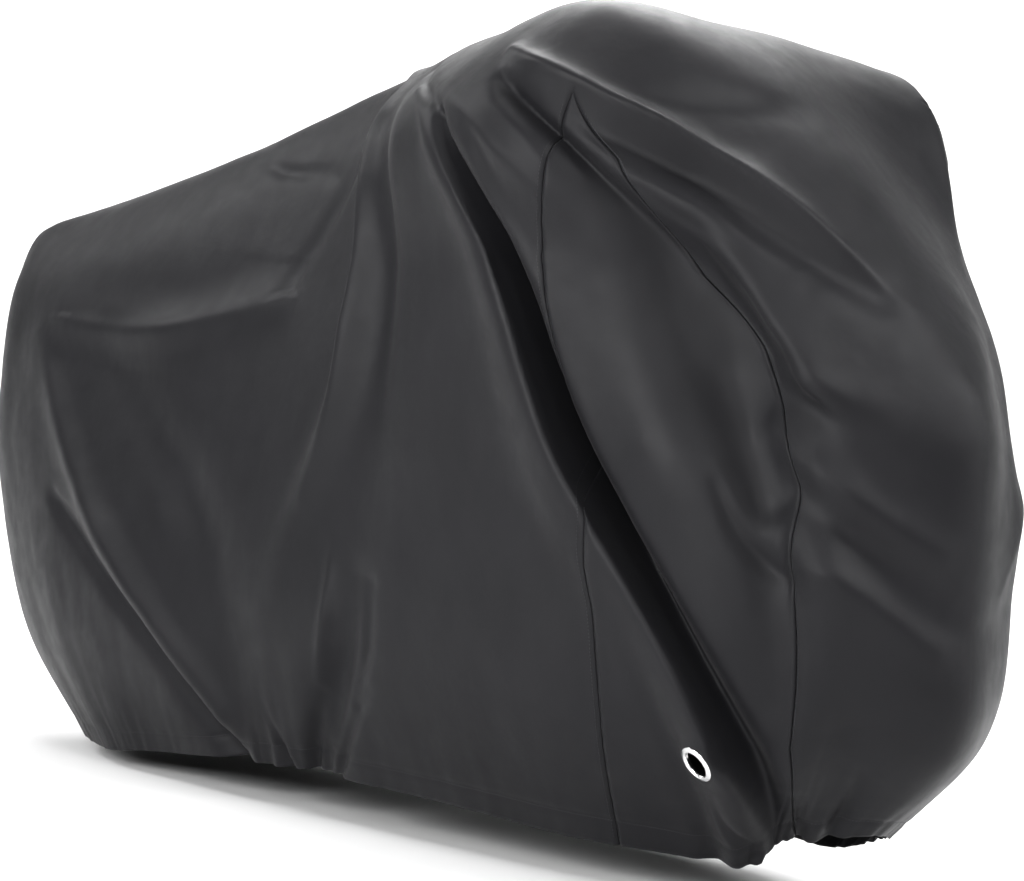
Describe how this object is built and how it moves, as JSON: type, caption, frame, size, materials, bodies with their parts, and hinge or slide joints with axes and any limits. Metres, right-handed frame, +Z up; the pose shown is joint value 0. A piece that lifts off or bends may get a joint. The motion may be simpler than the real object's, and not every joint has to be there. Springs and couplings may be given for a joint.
{
  "type": "bicycle cover",
  "caption": "Fitted waterproof cover draped over a whole bicycle, hollow and open underneath, with a gore panel and a lock eyelet low on each side.",
  "frame": {"origin": "on the inner side of the top, where the handlebar holds the cover up", "axes": "+X towards the bicycle's front, +Y to its left side, +Z up"},
  "size_m": [1.8494, 0.6644, 1.088],
  "materials": {
    "cloth": "satin",
    "eyelet": "polished"
  },
  "bodies": {
    "root": {"body": "cloth", "gore_right": "cloth", "gore_left": "cloth", "eyelet_right": "eyelet", "eyelet_left": "eyelet"}
  },
  "joints": []
}
